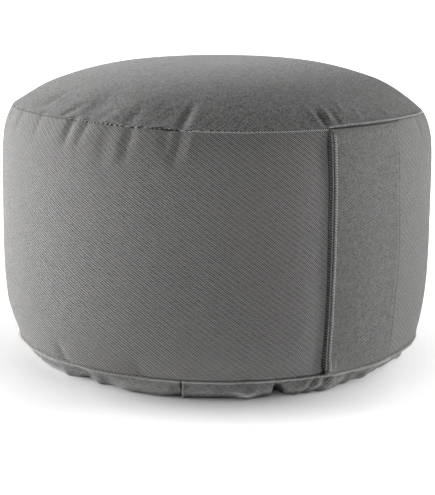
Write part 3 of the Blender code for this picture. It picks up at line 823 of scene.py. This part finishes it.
strap_cloth = twill("strap_twill", strap_weave, STRAP_LIGHT_YARN, STRAP_DARK_YARN,
                    rib_depth=1.2, grain=0.5, mottle=0.2)
flat_strap.data.materials.append(strap_cloth)
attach(flat_strap, "root")
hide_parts("carry_strap")

# ---- the sewing thread -------------------------------------------------------------------------------
# Grey and paler polyester thread; the paler thread is partly a painted highlight, for the light caught by
# the rolled edges it is sewn over. It shows as short stitches that lie in the top seam, as overcast edges
# above the strap, left of it and along the base seam, on both layers of the strap's left edge, and as a row
# of stitches inside its right edge.
FINE_THREAD = 0.00013  # radius
THREAD = 0.00020
EDGE_THREAD = 0.00028
GREY_THREAD = (0.26, 0.257, 0.25)
PALE_THREAD_AND_HIGHLIGHT = (0.68, 0.672, 0.66)
THREAD_SHADOW = 0.6  # painted shade: how light the thread is painted in the grooves of its twist
TWIST_SCALE = 900.0
TOP_STITCH_PITCH = 0.0031
TOP_STITCH_HALF = 0.28  # of the pitch
TOP_STITCH_DEPTH = 0.0004
OVERCAST_LIFT = 0.00012
# Overcast stitches: from and to in degrees, pitch, lean in degrees, half length.
RIDGE_SEWN = (-12, 40, 0.00105, 38, 0.00045)
LIP_SEWN = (-48, -12.5, 0.0008, 10, 0.0003)
WELT_SEWN = (12, 348, 0.00105, 20, 0.00045)
STRAP_END_SEWN = (-12, 12, 0.00105, 30, 0.0008)
# Stitches on the strap lie between points of its rings.
STITCHED_FROM_END = 6  # rows free of stitches at each end
EDGE_STITCH_STEP = 2
FRONT_LAYER_COLUMNS = (9, 12)  # on both sides of the left edge's front corner
BACK_LAYER_COLUMNS = (2, 3)  # and on the back layer, near its corner
SEAM_STITCH_STEP = 5
SEAM_STITCH_ROWS = 3  # that a stitch inside the right edge is long


def stitches(name, starts, ends, radius):
    """Round-ended stitches between pairs of points, joined in one mesh."""
    sides = 6
    run = ends - starts
    length = np.linalg.norm(run, axis=1, keepdims=True)
    along = run / length
    out = (starts + ends) * (1, 1, 0)
    aside = np.cross(along, out / np.linalg.norm(out, axis=1, keepdims=True))
    aside = aside / np.linalg.norm(aside, axis=1, keepdims=True)
    up = np.cross(aside, along)
    turn = np.arange(sides) / sides * math.tau
    spokes = radius * (np.cos(turn)[:, None] * aside[:, None] + np.sin(turn)[:, None] * up[:, None])
    places = ((-0.8, 0.6, 0), (0, 1, 0), (0, 1, 1), (0.8, 0.6, 1))  # end cap, width, share of the length
    rings = [(starts + run * share + along * cap * radius)[:, None] + spokes * width
             for cap, width, share in places]
    tips = [starts - along * radius, ends + along * radius]
    ringed = np.stack(rings, axis=1).reshape(len(starts), -1, 3)
    points = np.concatenate([ringed, np.stack(tips, axis=1)], axis=1)
    faces = []
    for ring in range(len(places) - 1):
        first = ring * sides
        above = first + sides
        for side in range(sides):
            after = (side + 1) % sides
            faces.append((first + side, first + after, above + after, above + side))
    first_tip = len(places) * sides
    last = first_tip - sides
    faces += [(first_tip, (side + 1) % sides, side) for side in range(sides)]
    faces += [(first_tip + 1, last + side, last + (side + 1) % sides) for side in range(sides)]
    all_faces = [tuple(corner + stitch * (first_tip + 2) for corner in face)
                 for stitch in range(len(starts)) for face in faces]
    mesh = bpy.data.meshes.new(name)
    mesh.from_pydata(points.reshape(-1, 3).tolist(), [], all_faces)
    mesh.shade_smooth()
    piece = bpy.data.objects.new(name, mesh)
    bpy.context.scene.collection.objects.link(piece)
    return piece


def thread_material(name, colour):
    material, shader, start = new_material(name)
    place = start.node("ShaderNodeTexCoord", {}, {}, "Object")
    # Painted shade: a noise darkens the thread's colour where the grooves of its twist would lie in shade.
    twisted = {"Vector": place, "Scale": TWIST_SCALE, "Detail": 1.0}
    twist = start.node("ShaderNodeTexNoise", {}, twisted, "Fac")
    painted_groove_shade = tuple(channel * THREAD_SHADOW for channel in colour)
    link(start.mix({"Factor": twist, "A": (*painted_groove_shade, 1), "B": (*colour, 1)}), shader, "Base Color")
    shader.inputs["Roughness"].default_value = 0.6
    return material


def round_at(ring, ring_azimuth, azimuth):
    """Points of a ring of points, at azimuths."""
    read = [np.interp(azimuth, ring_azimuth, ring[:, axis], period=math.tau) for axis in range(3)]
    return np.stack(read, axis=1)


def spread_round(start, end, pitch):
    """Azimuths from one in degrees to another, a pitch apart on the seam circle."""
    count = round(math.radians(end - start) * SEAM_RADIUS / pitch)
    return math.radians(start) + (np.arange(count) + 0.5) / count * math.radians(end - start)


def overcast(name, ring, ring_azimuth, sewn, thread):
    """Overcast stitches across a rolled edge, whose crest is a ring of points, leaning in by a tilt."""
    start, end, pitch, tilt, half_length = sewn
    crest = round_at(ring, ring_azimuth, spread_round(start, end, pitch))
    outward = crest * (1, 1, 0) / np.linalg.norm(crest[:, :2], axis=1, keepdims=True)
    lean = math.radians(tilt)
    middle = crest + OVERCAST_LIFT * (outward * math.cos(lean) + (0, 0, math.sin(lean)))
    half = half_length * ((0, 0, math.cos(lean)) - outward * math.sin(lean))
    return stitches(name, middle - half, middle + half, thread)


def at_top_seam(azimuth):
    radius = SEAM_RADIUS + out_of_round(azimuth, 1) - TOP_STITCH_DEPTH
    radius = radius + np.interp(azimuth, band_azimuth, puckered_seam, period=math.tau)
    return on_drum(azimuth, radius, TOP_SEAM_HEIGHT + waved(TOP_SEAM_WAVES, azimuth))


grey_thread = thread_material("grey_thread", GREY_THREAD)
# Painted highlight, partly: the pale thread also stands in for the light caught by the rolled edges it lies
# on.
pale_thread_and_highlight = thread_material("pale_thread_and_highlight", PALE_THREAD_AND_HIGHLIGHT)
azimuth = spread_round(0, 360, TOP_STITCH_PITCH)
half_stitch = TOP_STITCH_PITCH / SEAM_RADIUS * TOP_STITCH_HALF
before = at_top_seam(azimuth - half_stitch)
after = at_top_seam(azimuth + half_stitch)
top_seam_stitches = stitches("top_seam_stitches", before, after, THREAD)
ridge_stitches = overcast("ridge_stitches", ridge_crest, band_azimuth, RIDGE_SEWN, THREAD)
lip_stitches = overcast("lip_stitches", lip_crest, band_azimuth, LIP_SEWN, FINE_THREAD)
welt_stitches = overcast("welt_stitches", welt_crest, fold_azimuth, WELT_SEWN, THREAD)
strap_end_stitches = overcast("strap_end_stitches", welt_crest, fold_azimuth, STRAP_END_SEWN, EDGE_THREAD)
edge_rows = np.arange(STITCHED_FROM_END, STRAP_ROWS - STITCHED_FROM_END, EDGE_STITCH_STEP)
before, after = (strap_rings[edge_rows, column] for column in FRONT_LAYER_COLUMNS)
left_edge_stitches = stitches("left_edge_stitches", before, after, THREAD)
before, after = (strap_rings[edge_rows, column] for column in BACK_LAYER_COLUMNS)
left_back_stitches = stitches("left_back_stitches", before, after, THREAD)
seam_rows = np.arange(STITCHED_FROM_END, STRAP_ROWS - STITCHED_FROM_END, SEAM_STITCH_STEP)
seam_column = int(np.argmin(np.abs(from_right[STRAP_ROWS // 2] - STITCH_INSET) + (face < 1)))
sunk = (0, THREAD / 2, 0)
before = strap_rings[seam_rows, seam_column] + sunk
after = strap_rings[seam_rows + SEAM_STITCH_ROWS, seam_column] + sunk
right_edge_stitches = stitches("right_edge_stitches", before, after, THREAD)
SEWN_WITH = (  # stitches, thread, the finish of the cloth they lie in
    (top_seam_stitches, grey_thread, "side_twill"),
    (ridge_stitches, pale_thread_and_highlight, "top_twill"),
    (lip_stitches, pale_thread_and_highlight, "side_twill"),
    (welt_stitches, pale_thread_and_highlight, "base_twill"),
    (strap_end_stitches, pale_thread_and_highlight, "base_twill"),
    (left_edge_stitches, pale_thread_and_highlight, "strap_twill"),
    (left_back_stitches, pale_thread_and_highlight, "strap_twill"),
    (right_edge_stitches, grey_thread, "strap_twill"),
)
for piece, thread, slot in SEWN_WITH:
    piece.data.materials.append(thread)
    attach(piece, "root")

# ---- the studio --------------------------------------------------------------------------------------
# A white floor under soft light. Four wide boxes stand round the cushion's left, one at its right, and two
# weaker ones hang higher at the right, so that the side towards the camera stays darker. Small cards on the
# floor lift the lower front, a painted glow and shade even the floor, and only the camera sees the wall.
FLOOR_RADIUS = 12.0
FLOOR_WHITE = 0.9
WALL_RADIUS = 11.0
WALL_GLOW = 1.05
AIM_HEIGHT = 0.09  # where on the cushion's axis the boxes are aimed
CAMERA_AZIMUTH = -41.2
CAMERA_DISTANCE = 1.056  # from the cushion's axis
CAMERA_HEIGHT = 0.2828
CAMERA_PITCH = 11.5
CAMERA_LENS = 109.9
CAMERA_SIDESTEP = 0.0004
SURROUND = 0.05  # even light from all round
LIGHTS = (  # name, azimuth from the camera's, elevation, distance, width, height, watts
    ("left_box", -112, 14, 2.7, 1.6, 1.4, 124),
    ("left_rear_box", -150, 14, 2.7, 1.6, 1.4, 18),
    ("left_front_box", -82, 14, 2.7, 1.6, 1.4, 30),
    ("left_fill_box", -55, 14, 2.7, 1.2, 1.2, 16),
    ("right_box", 109, 14, 2.7, 1.6, 1.4, 75),
    ("right_high_box", 110, 45, 2.7, 1.8, 1.8, 9),
    ("front_high_box", 60, 45, 2.7, 1.8, 1.8, 12),
)
FRONT_CARDS = (-9, 9, 25)  # lit cards on the floor, close before the cushion: azimuth from the camera's
FRONT_CARD = (0.056, 0.017)
FRONT_CARD_DISTANCE = 0.1575  # from the cushion's axis
FRONT_CARD_HEIGHT = 0.001
FRONT_CARD_WATTS = 0.0045
NEAR_GLOW = 0.42  # the floor's glow rises from the cushion outwards, over a near and over a far reach
FAR_GLOW = 0.85
NEAR_REACH = (0.141, 0.242)
FAR_REACH = (0.35, 1.5)
SHADE_OFFSET = (0.008, 0.026)  # the floor's shade lies nearer the camera and to its left
SHADE_NARROWING = 1.33  # across the camera's view
FRONT_SHADE_MIDDLE = (0.017, 0.101)  # to the camera's right of the cushion's axis, and nearer the camera
FRONT_SHADE_REACH = (0.103, 0.112)
FRONT_SHADE_DEPTH = 0.8

bpy.ops.mesh.primitive_circle_add(vertices=96, radius=FLOOR_RADIUS, fill_type="NGON")
floor = bpy.context.object
floor.name = "floor"
# Painted light and shade: the floor glows less near the cushion, so that a painted shadow rings it.
floor_glow_and_painted_shadow, shader, start = new_material("floor_glow_and_painted_shadow")
place = start.node("ShaderNodeTexCoord", {}, {}, "Object")
turned = {"Vector": place, "Rotation": (0, 0, -math.radians(CAMERA_AZIMUTH)), "Scale": (1, 1, 1)}
seen = start.node("ShaderNodeMapping", {"vector_type": "POINT"}, turned)
middle = {"Vector": seen, "Location": (SHADE_NARROWING * SHADE_OFFSET[1], SHADE_OFFSET[0], 0),
          "Scale": (SHADE_NARROWING, 1, 1)}
from_middle = start.node("ShaderNodeMapping", {"vector_type": "POINT"}, middle)
distance = start.node("ShaderNodeVectorMath", {"operation": "LENGTH"}, {0: from_middle}, "Value")
glow = distance.within(*NEAR_REACH) * NEAR_GLOW + distance.within(*FAR_REACH) * FAR_GLOW
colours = {"Factor": glow, "A": (0, 0, 0, 1), "B": (1, 1, 1, 1)}
link(start.mix(colours), shader, "Emission Color")
shader.inputs["Emission Strength"].default_value = 1.0
side, ahead = FRONT_SHADE_MIDDLE
half_width, half_depth = FRONT_SHADE_REACH
front = {"Vector": seen, "Location": (-side / half_width, ahead / half_depth, 0),
         "Scale": (1 / half_width, 1 / half_depth, 1)}
from_front = start.node("ShaderNodeMapping", {"vector_type": "POINT"}, front)
lit = start.node("ShaderNodeVectorMath", {"operation": "LENGTH"}, {0: from_front}, "Value").within(0, 1)
# Painted shadow: the floor's colour is darker close before the cushion.
shaded = FLOOR_WHITE * (1 - FRONT_SHADE_DEPTH)
colours = {"Factor": lit, "A": (shaded, shaded, shaded, 1), "B": (FLOOR_WHITE, FLOOR_WHITE, FLOOR_WHITE, 1)}
link(start.mix(colours), shader, "Base Color")
shader.inputs["Roughness"].default_value = 0.9
shader.inputs["Specular IOR Level"].default_value = 0.0
floor.data.materials.append(floor_glow_and_painted_shadow)


def soft_box(name, width, height, watts):
    """A lit rectangle that the camera doesn't see."""
    light = bpy.data.lights.new(name, "AREA")
    light.shape = "RECTANGLE"
    light.size = width
    light.size_y = height
    light.energy = watts
    box = bpy.data.objects.new(name, light)
    box.visible_camera = False
    bpy.context.scene.collection.objects.link(box)
    return box


for name, turn, elevation, distance, width, height, watts in LIGHTS:
    box = soft_box(name, width, height, watts)
    around = math.radians(CAMERA_AZIMUTH + turn)
    up = math.radians(elevation)
    away = Vector((math.sin(around) * math.cos(up), -math.cos(around) * math.cos(up), math.sin(up)))
    box.location = Vector((0, 0, AIM_HEIGHT)) + away * distance
    box.rotation_euler = away.to_track_quat("Z", "Y").to_euler()

for turn in FRONT_CARDS:
    card = soft_box("front_card", *FRONT_CARD, FRONT_CARD_WATTS)
    around = math.radians(CAMERA_AZIMUTH + turn)
    card.location = (FRONT_CARD_DISTANCE * math.sin(around), -FRONT_CARD_DISTANCE * math.cos(around),
                     FRONT_CARD_HEIGHT)
    card.rotation_euler = (math.pi, 0, around)

bpy.ops.mesh.primitive_uv_sphere_add(segments=48, ring_count=24, radius=WALL_RADIUS)
wall = bpy.context.object
wall.name = "studio_wall"
wall_light, shader, start = new_material("wall_light")
shader.inputs["Base Color"].default_value = (0, 0, 0, 1)
shader.inputs["Emission Color"].default_value = (1, 1, 1, 1)
shader.inputs["Emission Strength"].default_value = WALL_GLOW
wall.data.materials.append(wall_light)
wall.visible_diffuse = False
wall.visible_glossy = False
wall.visible_transmission = False
wall.visible_shadow = False

world = bpy.data.worlds.new("studio_walls")
world.use_nodes = True
world.node_tree.nodes["Background"].inputs["Color"].default_value = (1, 1, 1, 1)
world.node_tree.nodes["Background"].inputs["Strength"].default_value = SURROUND
bpy.context.scene.world = world
bpy.context.scene.view_settings.view_transform = "Standard"

camera = bpy.data.objects.new("camera", bpy.data.cameras.new("camera"))
camera.data.lens = CAMERA_LENS
around = math.radians(CAMERA_AZIMUTH)
camera.location = (CAMERA_DISTANCE * math.sin(around) + CAMERA_SIDESTEP * math.cos(around),
                   -CAMERA_DISTANCE * math.cos(around) + CAMERA_SIDESTEP * math.sin(around), CAMERA_HEIGHT)
camera.rotation_euler = (math.radians(90 - CAMERA_PITCH), 0, around)
bpy.context.scene.collection.objects.link(camera)
bpy.context.scene.camera = camera
